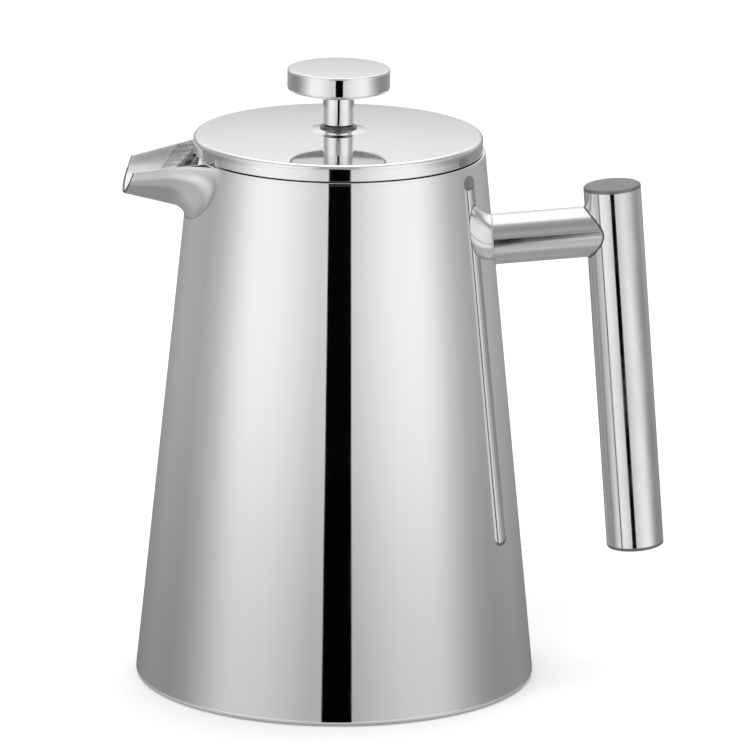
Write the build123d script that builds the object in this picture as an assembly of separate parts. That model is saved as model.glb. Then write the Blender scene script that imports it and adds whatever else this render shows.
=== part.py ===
"""French press coffee maker: a double-walled steel pot with a beak spout and a T-shaped tube handle,
a lift-off lid that turns in the mouth, and a plunger whose filter head slides in the liner.

Units are millimetres. +Z is up, the pot's axis is Z, the origin is the centre of the base on the table,
the handle points along +X and the spout along -X. The plunger is fully down.
"""

import os
from math import atan, cos, degrees, hypot, radians, sin, sqrt

from build123d import *

# --- driving dimensions -------------------------------------------------------------------------------
BASE_R = 65.0  # outer wall at the table
RIM_R = 47.4  # outer wall at the rim
RIM_Z = 174.0  # top of the rim
SHEET = 0.8  # outer wall, lid and base sheet
LINER_SHEET = 0.7
LINER_R = 44.2  # inside of the straight inner wall
LINER_FLOOR = 10.7  # upper face of the inner floor

SPOUT_SHEET = 1.0
SPOUT_FILLET = 3.6  # blend between spout and outer wall

ARM_R, ARM_WALL = 8.2, 1.2
GRIP_R, GRIP_WALL = 9.3, 1.0
HANDLE_TILT = 4.6  # degrees that the square T-handle leans with the tapered wall
TEE_X, TEE_Z = 89.7, 147.6  # where the axes of arm and grip cross
GRIP_UP, GRIP_DOWN = 15.0, 106.2  # grip length above and below the arm's axis
CAP = 1.2  # thickness of the grip's end caps

LID_R = 46.6
LID_Z0, LID_Z1 = 174.3, 179.4  # bottom and top of the lid's rolled edge
LID_EDGE = 1.5  # rounding of that edge
LID_DOME = 1.6  # rise of the lid's face at its centre
SKIRT_R, SKIRT_Z0 = 43.0, 157.0

KNOB_R, KNOB_Z0, KNOB_Z1 = 16.5, 193.8, 201.4
KNOB_ROUND = 1.5
STEM_R, STEM_Z0 = 5.05, 182.8
ROD_R, ROD_Z0 = 2.5, 12.6
RUNNING = 0.06  # radial clearance of the rod in its guide

SCREEN_R = 43.9  # outside of the filter screen's hem
SCREEN_Z = 15.0  # underside of the filter screen

# --- worked-out values --------------------------------------------------------------------------------
TAPER = (BASE_R - RIM_R) / RIM_Z
LIP_Z = RIM_Z - SHEET  # the outer wall ends here, under the liner's turned-out lip
LID_FACE = LID_Z1 + LID_DOME
LID_FLOOR = LID_Z0 + SHEET  # upper face of the lid's hem
TOP = 190.0  # construction height, above the rim


def wall_r(z):
    """Outer radius of the tapered outer wall at height z."""
    return BASE_R - TAPER * z


# --- general helpers ----------------------------------------------------------------------------------
def outline(points, rounds=None):
    """Closed face in the XZ plane, with the corners listed in rounds as {index: radius} rounded."""
    face = Plane.XZ * make_face(Polyline(*points, close=True))
    for index, radius in (rounds or {}).items():
        x, z = points[index]
        corner = min(face.vertices(), key=lambda v: hypot(v.X - x, v.Z - z))
        face = fillet(corner, radius)
    return face


def turned(points, rounds=None):
    """Solid of revolution about Z."""
    return revolve(outline(points, rounds), Axis.Z)


def tube(outer, inner, z0, z1):
    """Plain ring or, with inner 0, a disc."""
    ring = Pos(0, 0, z0) * extrude(Circle(outer), z1 - z0)
    if inner:
        ring -= Pos(0, 0, z0) * extrude(Circle(inner), z1 - z0)
    return ring


def hexagon_nut(across_flats, bore, z0, z1):
    """Hexagon nut about Z with chamfered corners and a plain bore."""
    nut = Pos(0, 0, z0) * extrude(RegularPolygon(across_flats / 2, 6, major_radius=False), z1 - z0)
    corner_r = across_flats / sqrt(3)
    drop = 0.45 * (corner_r - across_flats / 2)
    barrel = turned(
        [
            (0, z0),
            (across_flats / 2, z0),
            (corner_r, z0 + drop),
            (corner_r, z1 - drop),
            (across_flats / 2, z1),
            (0, z1),
        ]
    )
    return (nut & barrel) - tube(bore, 0, z0, z1)


def around(shape, count, start=0.0, span=360.0):
    """Copies of shape about Z, evenly spaced over span degrees from start."""
    step = span / count if span == 360.0 else span / (count - 1)
    return [Rot(0, 0, start + i * step) * shape for i in range(count)]


def keep(solid, name):
    """Writes one node."""
    solid.label = name
    export_step(solid, f"parts/{name}.step")


# --- pot ----------------------------------------------------------------------------------------------
FLANGE_R = 59.0  # inner edge of the outer wall's turned-in foot
FOOT_ROUND = 1.6


def outer_wall_solid():
    """The whole tapered body as a solid cone, carried up past the rim."""
    return turned(
        [(0, 0), (BASE_R, 0), (wall_r(TOP), TOP), (0, TOP)], {1: FOOT_ROUND}
    )


def outer_shell():
    """Tapered outer wall with its foot turned in."""
    lean = hypot(1, TAPER)
    t = SHEET * lean
    return turned(
        [
            (FLANGE_R, 0),
            (BASE_R, 0),
            (wall_r(LIP_Z), LIP_Z),
            (wall_r(LIP_Z) - t, LIP_Z),
            (wall_r(SHEET) - t, SHEET),
            (FLANGE_R, SHEET),
        ],
        {1: FOOT_ROUND, 4: FOOT_ROUND - SHEET},
    )


def inner_liner():
    """Straight inner wall, closed floor and the lip that turns out over the outer wall's edge."""
    out_r = LINER_R + LINER_SHEET
    under = LINER_FLOOR - LINER_SHEET
    bevel = 0.4
    inner_bend = 6.0
    return turned(
        [
            (0, under),
            (out_r, under),
            (out_r, LIP_Z),
            (wall_r(LIP_Z), LIP_Z),
            (wall_r(RIM_Z - bevel), RIM_Z - bevel),
            (wall_r(RIM_Z) - bevel, RIM_Z),
            (LINER_R, RIM_Z),
            (LINER_R, LINER_FLOOR),
            (0, LINER_FLOOR),
        ],
        {1: inner_bend + LINER_SHEET, 6: 1.0, 7: inner_bend},
    )


def base_plate():
    """Pressed bottom: a flat middle on the table, stepped up onto the foot of the outer wall."""
    flat_r, step_r, lap_r = 54.0, 55.6, 62.0
    return turned(
        [
            (0, 0),
            (flat_r, 0),
            (step_r, SHEET),
            (lap_r, SHEET),
            (lap_r, 2 * SHEET),
            (step_r - 0.4, 2 * SHEET),
            (flat_r - 0.4, SHEET),
            (0, SHEET),
        ]
    )


# --- spout --------------------------------------------------------------------------------------------
# The spout is a U-shaped trough. Its half width, its top edge and its floor change evenly along X.
ROOT_X, TIP_X = -40.0, -72.0
HALF_WIDTH = (-42.7, 20.4, 0.3096)  # at this x, this value, changing this much per mm of x
TOP_EDGE = (-42.7, RIM_Z, 0.1967)
FLOOR_EDGE = (-52.5, 156.7, -0.2412)
UPRIGHT = 2.0  # height of the plain upright part of the trough's sides
BEAK_X, BEAK_Z, BEAK_LEAN = -66.6, 169.3, 19.0  # front cut: passes here, leaning out downwards


def along(line, x):
    """Value at x of a quantity given as (x, value, slope)."""
    return line[1] + line[2] * (x - line[0])


def trough_section(x, inset):
    """U-shaped section at x: an elliptical floor with straight sides carried up past the rim."""
    w = along(HALF_WIDTH, x) - inset
    bend = along(TOP_EDGE, x) - UPRIGHT
    floor = along(FLOOR_EDGE, x) + inset
    curve = EllipticalCenterArc((0, bend), w, bend - floor, 180, arc_size=180)
    sides = Polyline((w, bend), (w, TOP), (-w, TOP), (-w, bend))
    return Plane((x, 0, 0), x_dir=(0, 1, 0), z_dir=(1, 0, 0)) * make_face(curve + sides)


def trough(inset, x0=ROOT_X, x1=TIP_X):
    """Solid filling the trough, drawn in by inset from its outside."""
    return loft([trough_section(x0, inset), trough_section(x1, inset)], ruled=True)


def below_top_edge():
    """Everything under the spout's sloping top edge and under the rim."""
    far, side = 40.0, 30.0
    left = ROOT_X - far
    outline_xz = Polyline(
        (left, 120),
        (0, 120),
        (0, RIM_Z),
        (TOP_EDGE[0], RIM_Z),
        (left, along(TOP_EDGE, left)),
        close=True,
    )
    return Pos(0, side, 0) * extrude(Plane.XZ * make_face(outline_xz), 2 * side)


def behind_beak():
    """Everything on the pot's side of the spout's front cut."""
    side, reach = 30.0, 60.0
    lean = sin(radians(BEAK_LEAN)) / cos(radians(BEAK_LEAN))
    z0, z1 = BEAK_Z - reach, BEAK_Z + reach
    outline_xz = Polyline(
        (BEAK_X - lean * (BEAK_Z - z0), z0),
        (0, z0),
        (0, z1),
        (BEAK_X + lean * (z1 - BEAK_Z), z1),
        close=True,
    )
    return Pos(0, side, 0) * extrude(Plane.XZ * make_face(outline_xz), 2 * side)


def spout_blank():
    """Solid spout with its rounded root, cut off where it meets the tapered wall."""
    body = outer_wall_solid()
    joined = body + trough(0.0)

    def on_seam(edge):
        points = [edge.position_at(s) for s in (0.2, 0.5, 0.8)]
        off = max(abs(hypot(p.X, p.Y) - wall_r(p.Z)) for p in points)
        return off < 0.02 and all(p.X < ROOT_X and 140 < p.Z < TOP - 0.5 for p in points)

    seam = [e for e in joined.edges() if on_seam(e)]
    return fillet(seam, SPOUT_FILLET) - body


def spout():
    """Beak-shaped trough welded to the outer wall."""
    sheet = spout_blank() - trough(SPOUT_SHEET, -30.0, -80.0)
    return sheet & below_top_edge() & behind_beak()


LIP_CENTRE_X, LIP_REACH = -29.0, 23.2  # at the rim the liner's pouring lip ends on this arc in plan
LIP_FLARE = 0.42  # growth of that arc's radius per mm below the rim
WELD_WIDTH, WELD_THICK = 4.0, 0.35


def lip_cone(reach):
    """Upright cone about the arc's centre, with radius reach at the rim and wider below it."""
    low_z = 120.0
    cone = turned(
        [
            (0, low_z),
            (reach + LIP_FLARE * (RIM_Z - low_z), low_z),
            (reach + LIP_FLARE * (RIM_Z - TOP), TOP),
            (0, TOP),
        ]
    )
    return Pos(LIP_CENTRE_X, 0, 0) * cone


def pour_lip():
    """The liner's throat: it leads from the liner's notch over the gap and onto the spout's floor."""
    t = SPOUT_SHEET
    sheet = trough(t, -30.0, -70.0) - trough(t + LINER_SHEET, -29.0, -71.0)
    sheet = sheet & lip_cone(LIP_REACH) & below_top_edge()
    return sheet - tube(LINER_R, 0, 100, 200)


def spout_weld():
    """Seam of weld metal between the pouring lip and the spout's floor."""
    t = SPOUT_SHEET
    bead = trough(t, -30.0, -70.0) - trough(t + WELD_THICK, -29.0, -71.0)
    bead = bead & (lip_cone(LIP_REACH + WELD_WIDTH) - lip_cone(LIP_REACH)) & below_top_edge()
    return max((bead - outer_wall_solid()).solids(), key=lambda s: s.volume)


# --- handle -------------------------------------------------------------------------------------------
TEE = Pos(TEE_X, 0, TEE_Z) * Rot(0, -HANDLE_TILT, 0)  # local X along the arm, local Z along the grip


def grip_tube(radius, z0, z1):
    """Cylinder on the grip's axis."""
    return TEE * Pos(0, 0, z0) * extrude(Circle(radius), z1 - z0)


def arm_tube(radius, x0, x1):
    """Cylinder on the arm's axis."""
    return TEE * Pos(x0, 0, 0) * Rot(0, 90, 0) * extrude(Circle(radius), x1 - x0)


def handle_grip():
    """Upright grip tube, open at both ends for the caps."""
    z0, z1 = CAP - GRIP_DOWN, GRIP_UP - CAP
    return grip_tube(GRIP_R, z0, z1) - grip_tube(GRIP_R - GRIP_WALL, z0, z1)


def grip_cap(top):
    """End cap of the grip, with its outer edge rounded."""
    z0 = GRIP_UP - CAP if top else -GRIP_DOWN
    disc = Pos(0, 0, z0) * extrude(Circle(GRIP_R), CAP)
    rim = disc.edges().sort_by(Axis.Z)[-1 if top else 0]
    plug = Pos(0, 0, z0 - CAP if top else z0 + CAP) * extrude(Circle(GRIP_R - GRIP_WALL), CAP)
    return TEE * (fillet(rim, 0.8) + plug)


def handle_arm():
    """Arm tube, coped to the outer wall at one end and to the grip at the other."""
    arm = arm_tube(ARM_R, -60, 0) - arm_tube(ARM_R - ARM_WALL, -61, 1)
    return arm - outer_wall_solid() - grip_tube(GRIP_R, -40, 40)


def backing_plate():
    """Round plate behind the outer wall that spreads the handle's load."""
    radius, thick = 13.0, 1.0
    lean = hypot(1, TAPER)

    def inside(depth):
        return turned(
            [
                (0, 100),
                (wall_r(100) - depth * lean, 100),
                (wall_r(TOP) - depth * lean, TOP),
                (0, TOP),
            ]
        )

    plug = arm_tube(radius, -60, -20)
    return plug & (inside(SHEET) - inside(SHEET + thick))


# --- lid ----------------------------------------------------------------------------------------------
GUIDE_R = 4.0  # outside of the rod guide's sleeve
COLLAR_R0, COLLAR_R1 = 6.05, 5.3  # the guide's cone-shaped collar, at the lid's face and at its top
COLLAR_Z1 = STEM_Z0 - 0.2
BOSS_R, BOSS_RISE = 9.3, 0.4  # small raised boss round the guide
RING_Z0, RING_Z1 = 169.9, 172.5  # lid ring
GROOVE = 0.5  # depth of the skirt's groove for the ring


def lid_profile(drop):
    """Half section of the lid's outer skin, set in by drop on every side."""
    edge_r = LID_R - LID_EDGE
    dome_r = (edge_r**2 + LID_DOME**2) / (2 * LID_DOME)
    centre_z = LID_FACE - dome_r
    round_r = LID_EDGE - drop
    mid = edge_r / 2
    top_z = centre_z + sqrt((dome_r - drop) ** 2 - edge_r**2)
    slope_end = (edge_r, top_z)
    mid_point = (mid, centre_z + sqrt((dome_r - drop) ** 2 - mid**2))
    side_r = LID_R - drop
    side_top = LID_Z1 - LID_EDGE
    corner_mid = (
        edge_r + round_r * sin(radians(45)),
        side_top + (top_z - side_top) * sin(radians(45)),
    )
    bottom = LID_Z0 + drop
    curve = ThreePointArc((0, LID_FACE - drop), mid_point, slope_end)
    curve += ThreePointArc(slope_end, corner_mid, (side_r, side_top))
    curve += Polyline((side_r, side_top), (side_r, bottom), (0, bottom), (0, LID_FACE - drop))
    return Plane.XZ * make_face(curve)


def lid_top():
    """Domed outer skin with a rolled edge, hemmed in underneath."""
    skin = revolve(lid_profile(0.0), Axis.Z) - revolve(lid_profile(SHEET), Axis.Z)
    skin -= tube(44.0, 0, LID_Z0, LID_Z0 + SHEET)
    boss = turned(
        [
            (GUIDE_R, LID_FACE - 0.3),
            (BOSS_R, LID_FACE - 0.3),
            (BOSS_R, LID_FACE - 0.04),
            (COLLAR_R0 + 1.0, LID_FACE + BOSS_RISE),
            (GUIDE_R, LID_FACE + BOSS_RISE),
        ]
    )
    return skin + boss - tube(GUIDE_R, 0, LID_Z0, LID_FACE + 2)


def lid_base():
    """Flat inner disc of the lid, lapped on the hem."""
    return tube(45.6, GUIDE_R, LID_FLOOR, LID_FLOOR + LINER_SHEET)


def lid_skirt():
    """Straight skirt with a rolled groove for the ring and strainer holes towards the spout."""
    t = LINER_SHEET
    r, g = SKIRT_R, GROOVE
    band = turned(
        [
            (r - t, SKIRT_Z0),
            (r, SKIRT_Z0),
            (r, RING_Z0 - 0.15),
            (r - g, RING_Z0 - 0.15),
            (r - g, RING_Z1 + 0.15),
            (r, RING_Z1 + 0.15),
            (r, LID_FLOOR),
            (r - t, LID_FLOOR),
            (r - t, RING_Z1 + 0.15 + t),
            (r - g - t, RING_Z1 + 0.15 + t),
            (r - g - t, RING_Z0 - 0.15 - t),
            (r - t, RING_Z0 - 0.15 - t),
        ]
    )
    hole_r, rows, per_row, pitch = 1.2, 3, 9, 3.4
    step = 5.4  # degrees from hole to hole
    for row in range(rows):
        z = SKIRT_Z0 + 3.0 + row * pitch
        first = 180 - step * (per_row - 1) / 2 + (step / 2 if row % 2 else 0)
        drill = Pos(r - 3, 0, z) * Rot(0, 90, 0) * extrude(Circle(hole_r), 6)
        for hole in around(drill, per_row, first, step * (per_row - 1)):
            band -= hole
    return band


def rod_guide():
    """Sleeve that the rod runs in, with a cone-shaped collar on the lid's face."""
    face = LID_FACE + BOSS_RISE
    return turned(
        [
            (ROD_R + RUNNING, 170.4),
            (GUIDE_R, 170.4),
            (GUIDE_R, face),
            (COLLAR_R0, face),
            (COLLAR_R1, COLLAR_Z1),
            (ROD_R + RUNNING, COLLAR_Z1),
        ]
    )


def lid_ring():
    """Soft ring in the skirt's groove that steadies the lid in the liner."""
    inner = SKIRT_R - GROOVE + 0.12
    outer = LINER_R - 0.12
    return turned(
        [(inner, RING_Z0), (outer, RING_Z0), (outer, RING_Z1), (inner, RING_Z1)], {1: 0.6, 2: 0.6}
    )


# --- plunger ------------------------------------------------------------------------------------------
KNOB_DOME = 0.3
ROD_IN_KNOB = 4.0


def knob_disc():
    """Flat round knob, faintly domed, bored from below for the rod."""
    edge_r = KNOB_R - KNOB_ROUND
    z_edge = KNOB_Z1 - KNOB_DOME
    disc = turned(
        [(0, KNOB_Z0), (KNOB_R, KNOB_Z0), (KNOB_R, z_edge), (0, z_edge)],
        {1: KNOB_ROUND, 2: KNOB_ROUND},
    )
    dome_r = (edge_r**2 + KNOB_DOME**2) / (2 * KNOB_DOME)
    mid = edge_r / 2
    centre_z = KNOB_Z1 - dome_r
    curve = ThreePointArc((0, KNOB_Z1), (mid, centre_z + sqrt(dome_r**2 - mid**2)), (edge_r, z_edge))
    curve += Polyline((edge_r, z_edge), (edge_r, z_edge - 1), (0, z_edge - 1), (0, KNOB_Z1))
    disc += revolve(Plane.XZ * make_face(curve), Axis.Z)
    return disc - tube(ROD_R, 0, KNOB_Z0, KNOB_Z0 + ROD_IN_KNOB)


def knob_stem():
    """Sleeve between knob and lid; its foot stops on the guide's collar."""
    return turned(
        [(ROD_R, STEM_Z0), (STEM_R, STEM_Z0), (STEM_R, KNOB_Z0), (ROD_R, KNOB_Z0)], {1: 0.4}
    )


def plunger_rod():
    """Rod from the knob to the filter head."""
    z1 = KNOB_Z0 + ROD_IN_KNOB
    return turned([(0, ROD_Z0), (ROD_R, ROD_Z0), (ROD_R, z1), (0, z1)], {1: 0.5, 2: 0.5})


PLATE_SHEET = 0.6
CROSS_R, CROSS_SHEET, CROSS_DROP = 40.0, 0.8, 1.4  # bottom plate and the depth of its rim
SCREEN_SHEET = 0.4
SCREEN_TOP = 19.4  # top of the screen's turned-up hem
COIL_R = 1.7  # radius of the tube that the edge spring's coils fill
SPIRAL_R, SPIRAL_RIM = 39.6, 3.4
HUB_R = 5.5
CROSS_HOLES = ((12.5, 6, 3.2), (22.5, 8, 4.6), (33.5, 16, 4.2))  # pitch radius, count, hole radius
SPIRAL_SLOTS = ((15.5, 4, 54), (25.0, 4, 62), (33.5, 6, 42))  # pitch radius, count, sweep in degrees
SLOT_WIDTH = 5.2


def cross_plate():
    """Bottom plate with a drilled pattern and a rim turned down."""
    z1, z0 = SCREEN_Z, SCREEN_Z - CROSS_SHEET
    plate = turned(
        [
            (HUB_R, z0),
            (CROSS_R - CROSS_SHEET, z0),
            (CROSS_R - CROSS_SHEET, z0 - CROSS_DROP),
            (CROSS_R, z0 - CROSS_DROP),
            (CROSS_R, z1),
            (HUB_R, z1),
        ],
        {4: 0.6},
    )
    for pitch_r, count, hole_r in CROSS_HOLES:
        drill = Pos(pitch_r, 0, z0 - 1) * extrude(Circle(hole_r), 3)
        for hole in around(drill, count):
            plate -= hole
    return plate


def plate_hub():
    """Hub of the bottom plate, screwed on the rod's end."""
    hub = tube(HUB_R, ROD_R, 12.0, SCREEN_Z)
    return hub + tube(HUB_R - 1.0, ROD_R, 11.4, 12.0)


def filter_screen():
    """Fine woven screen: a disc whose hem turns up round the edge spring."""
    t = SCREEN_SHEET
    z0 = SCREEN_Z
    return turned(
        [
            (ROD_R, z0),
            (SCREEN_R, z0),
            (SCREEN_R, SCREEN_TOP),
            (SCREEN_R - t, SCREEN_TOP),
            (SCREEN_R - t, z0 + t),
            (ROD_R, z0 + t),
        ],
        {1: 1.0, 4: 0.6},
    )


def spiral_plate():
    """Upper plate with slots between its spokes and a rim turned up inside the spring."""
    t = PLATE_SHEET
    z0 = SCREEN_Z + SCREEN_SHEET
    plate = turned(
        [
            (ROD_R, z0),
            (SPIRAL_R, z0),
            (SPIRAL_R, z0 + SPIRAL_RIM),
            (SPIRAL_R - t, z0 + SPIRAL_RIM),
            (SPIRAL_R - t, z0 + t),
            (ROD_R, z0 + t),
        ],
        {1: 0.9, 4: 0.4},
    )
    for pitch_r, count, sweep in SPIRAL_SLOTS:
        for k in range(count):
            middle = k * 360 / count + pitch_r * 2  # each row starts further round than the one inside it
            arc = CenterArc((0, 0), pitch_r, middle - sweep / 2, sweep)
            slot = extrude(SlotArc(arc, SLOT_WIDTH), 3)
            plate -= Pos(0, 0, z0 - 1) * slot
    return plate


def edge_spring():
    """Garter spring round the upper plate, drawn as the ring that its coils fill."""
    ring_r = (SPIRAL_R + SCREEN_R - SCREEN_SHEET) / 2
    z = SCREEN_Z + SCREEN_SHEET + COIL_R + 0.1
    return Pos(0, 0, z) * Torus(ring_r, COIL_R)


def head_nut():
    """Nut on the rod that holds the upper plate and the screen down."""
    z0 = SCREEN_Z + SCREEN_SHEET + PLATE_SHEET
    return hexagon_nut(9.0, ROD_R, z0, z0 + 3.4)


# --- build --------------------------------------------------------------------------------------------
def main():
    os.makedirs("parts", exist_ok=True)
    throat_cut = trough(SPOUT_SHEET, -30.0, -80.0)
    nodes = {
        "outer_shell": outer_shell() - throat_cut,
        "inner_liner": inner_liner() - throat_cut,
        "base_plate": base_plate(),
        "spout": spout(),
        "pour_lip": pour_lip(),
        "spout_weld": spout_weld(),
        "handle_arm": handle_arm(),
        "handle_grip": handle_grip(),
        "grip_cap_top": grip_cap(True),
        "grip_cap_bottom": grip_cap(False),
        "handle_backing_plate": backing_plate(),
        "lid_ring": lid_ring(),
        "lid_top": lid_top(),
        "lid_base": lid_base(),
        "lid_skirt": lid_skirt(),
        "rod_guide": rod_guide(),
        "guide_nut": hexagon_nut(11.0, GUIDE_R, LID_FLOOR - 4.0, LID_FLOOR),
        "knob_disc": knob_disc(),
        "knob_stem": knob_stem(),
        "plunger_rod": plunger_rod(),
        "head_nut": head_nut(),
        "spiral_plate": spiral_plate(),
        "edge_spring": edge_spring(),
        "filter_screen": filter_screen(),
        "cross_plate": cross_plate(),
        "plate_hub": plate_hub(),
    }
    for name, solid in nodes.items():
        keep(solid, name)
    print("taper", round(degrees(atan(TAPER)), 2), "degrees;", len(nodes), "nodes")


main()
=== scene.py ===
"""Looks of the french press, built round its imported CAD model. Lengths named here are millimetres."""

from math import acos, ceil, cos, degrees, hypot, pi, radians, sin, sqrt, tan

import bpy
import numpy as np
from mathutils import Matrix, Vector


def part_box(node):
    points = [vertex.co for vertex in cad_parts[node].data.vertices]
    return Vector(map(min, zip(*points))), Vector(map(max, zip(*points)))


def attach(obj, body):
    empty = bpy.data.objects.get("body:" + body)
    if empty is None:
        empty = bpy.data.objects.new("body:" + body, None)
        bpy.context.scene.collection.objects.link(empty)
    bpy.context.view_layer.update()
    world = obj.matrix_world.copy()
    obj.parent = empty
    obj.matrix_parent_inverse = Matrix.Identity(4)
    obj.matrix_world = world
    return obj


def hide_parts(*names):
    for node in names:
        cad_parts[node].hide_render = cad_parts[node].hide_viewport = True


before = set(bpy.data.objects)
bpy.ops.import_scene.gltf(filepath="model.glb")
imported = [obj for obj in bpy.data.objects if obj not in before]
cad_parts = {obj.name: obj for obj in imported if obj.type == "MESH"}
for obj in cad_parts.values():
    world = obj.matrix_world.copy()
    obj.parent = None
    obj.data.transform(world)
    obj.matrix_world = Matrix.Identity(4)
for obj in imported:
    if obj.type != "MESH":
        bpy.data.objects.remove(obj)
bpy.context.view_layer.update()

MM = 0.001


def low(node):
    """Lowest corner of a CAD node, in millimetres."""
    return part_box(node)[0] / MM


def high(node):
    """Highest corner of a CAD node, in millimetres."""
    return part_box(node)[1] / MM


# --- dimensions ---------------------------------------------------------------------------------------
SHARP = 0.03  # rounding of an edge that looks sharp
ROUND_STEP = 9.0  # degrees of turn for each segment of a rounded corner
BORDER_ARC = (30, 60, 90)  # degrees of turn at which a sheet's border has its rows

# pot
FOOT_ROUND = 1.6
SHEET = 0.8
LINER_SHEET = 0.7
RIM_Z = high("inner_liner").z
LIP_Z = high("outer_shell").z
LIP_R = high("inner_liner").x
TAPER = (high("outer_shell").x - LIP_R) / (LIP_Z - FOOT_ROUND)
FOOT_R = LIP_R + TAPER * LIP_Z
FLANGE_R = 59.0
LINER_R = 44.2
LINER_FLOOR = low("inner_liner").z + LINER_SHEET
FLOOR_BEND = 6.0
NOTCH_BELOW = 135.0  # the spout's notch in both walls lies above this height
SEAT_GAP = 0.03  # how far a piece that lies on another one is let in

# spout: half width, top edge and floor are (x, value there, change per mm of x)
SPOUT_SHEET = 1.0
HALF_WIDTH = (-42.7, 20.4, 0.3096)
TOP_EDGE = (-42.7, RIM_Z, 0.1967)
FLOOR_EDGE = (-52.5, 156.7, -0.2412)
UPRIGHT = 2.0
BEAK_X, BEAK_Z, BEAK_LEAN = -66.6, 169.3, 19.0
LIP_CENTRE_X, LIP_REACH, LIP_FLARE = -29.0, 23.2, 0.42
LIP_STAND = 1.3  # how far the lip's edge stands above the rest of the lip
WELD_WIDTH = 4.0
WELD_SHEET = 0.3
BLEND_FLOOR = 3.4  # reach of the blend into the wall, under the spout
BLEND_WALL, BLEND_FLANK = 9.5, 14.0  # and beside it, on the wall and on the spout
BLEND_PULL = 0.52  # how tightly the blend follows the corner
TROUGH_CORE = (-48.0, 0.0, RIM_Z - 4.0)  # a point inside the spout at the wall
BEYOND_BEAK, LIP_INNER_X, INSIDE_POT = -90.0, -30.0, -20.0  # x between which its curves are sought

# handle
ARM_R, ARM_WALL = 8.2, 1.2
GRIP_R, GRIP_WALL = 9.3, 1.0
HANDLE_TILT = 4.6
TEE_X, TEE_Z = 89.7, 147.6
GRIP_UP, GRIP_DOWN = 15.0, 106.2
CAP, CAP_EDGE = 1.2, 0.8
SEARCH_STEPS = 40  # halvings when a crossing is sought

# lid
LID_R = high("lid_top").x
LID_Z0 = low("lid_top").z
LID_EDGE = 1.5
LID_DOME = 1.6
LID_INNER_R = 44.0
LID_SIDE = 2.2
BOSS_R, BOSS_TOP_R, BOSS_RISE = 9.3, 6.4, 0.4
LID_FACE = high("lid_top").z - BOSS_RISE
LID_SHOULDER = LID_FACE - LID_DOME
GUIDE_R, GUIDE_BORE = 4.0, 2.56
COLLAR_R, COLLAR_TOP_R, COLLAR_SIDE = 6.05, 5.3, 0.3

# plunger
KNOB_R = high("knob_disc").x
KNOB_Z0, KNOB_Z1 = low("knob_disc").z, high("knob_disc").z
KNOB_ROUND_LOW, KNOB_ROUND_TOP, KNOB_DOME = 1.4, 0.9, 0.3
STEM_R, STEM_BORE = high("knob_stem").x, 2.5
STEM_Z0 = low("knob_stem").z
PLATE_R = 39.6
SPRING_WIRE = 0.28
SPRING_PITCH = 1.15

# camera
PHOTO_AZIMUTH, PHOTO_ELEVATION, PHOTO_ROLL = -3.0, 14.56, 0.53
AIM_RIGHT, AIM_Z, CAMERA_DISTANCE = 12.5, 99.4, 2373.0
LENS, SENSOR = 351.3, 36.0
LAMP_ELEVATION = 115.0  # past the zenith, towards the back


def wall_r(z):
    """Outer radius of the pot's tapered wall at height z."""
    return FOOT_R - TAPER * z


# --- meshes -------------------------------------------------------------------------------------------
def differences(points, axis, closed):
    """Neighbour-to-neighbour differences along one axis of a point grid."""
    if closed:
        return np.roll(points, -1, axis) - np.roll(points, 1, axis)
    padded = np.concatenate(
        [points.take([0], axis), points, points.take([-1], axis)], axis
    )
    count = padded.shape[axis]
    return padded.take(range(2, count), axis) - padded.take(range(count - 2), axis)


def unit(vectors):
    """Vectors scaled to length one, with zero vectors left alone."""
    length = np.linalg.norm(vectors, axis=-1, keepdims=True)
    return vectors / np.where(length < 1e-12, 1.0, length)


def grid_normals(points, closed_u, closed_v):
    """Surface normals of a (u, v, 3) grid."""
    along_u = differences(points, 0, closed_u)
    along_v = differences(points, 1, closed_v)
    return unit(np.cross(along_u, along_v))


def make_object(name, points, normals, faces):
    """Closed mesh object in metres: coinciding points are merged and the given normals are kept."""
    keys = np.round(points / 1e-4).astype(np.int64)
    _, first, index = np.unique(keys, axis=0, return_index=True, return_inverse=True)
    index = index.reshape(-1)
    summed = np.zeros((len(first), 3))
    np.add.at(summed, index, normals)
    corners = []
    for face in faces:
        ring = [index[i] for i in face]
        ring = [v for k, v in enumerate(ring) if v != ring[k - 1]]
        if len(set(ring)) == len(ring) and len(ring) > 2:
            corners.append(ring)
    mesh = bpy.data.meshes.new(name)
    mesh.from_pydata((points[first] * MM).tolist(), [], corners)
    mesh.validate()
    mesh.shade_smooth()
    mesh.normals_split_custom_set_from_vertices(unit(summed).tolist())
    piece = bpy.data.objects.new(name, mesh)
    bpy.context.scene.collection.objects.link(piece)
    return piece


def grid_object(name, points, closed_u=True, closed_v=True, normals=None):
    """Object from a (u, v, 3) grid of points in millimetres."""
    if normals is None:
        normals = grid_normals(points, closed_u, closed_v)
    nu, nv = points.shape[:2]
    faces = []
    for i in range(nu if closed_u else nu - 1):
        for j in range(nv if closed_v else nv - 1):
            a, b = i, (i + 1) % nu
            c, d = j, (j + 1) % nv
            faces.append((a * nv + c, b * nv + c, b * nv + d, a * nv + d))
    return make_object(name, points.reshape(-1, 3), normals.reshape(-1, 3), faces)


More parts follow.
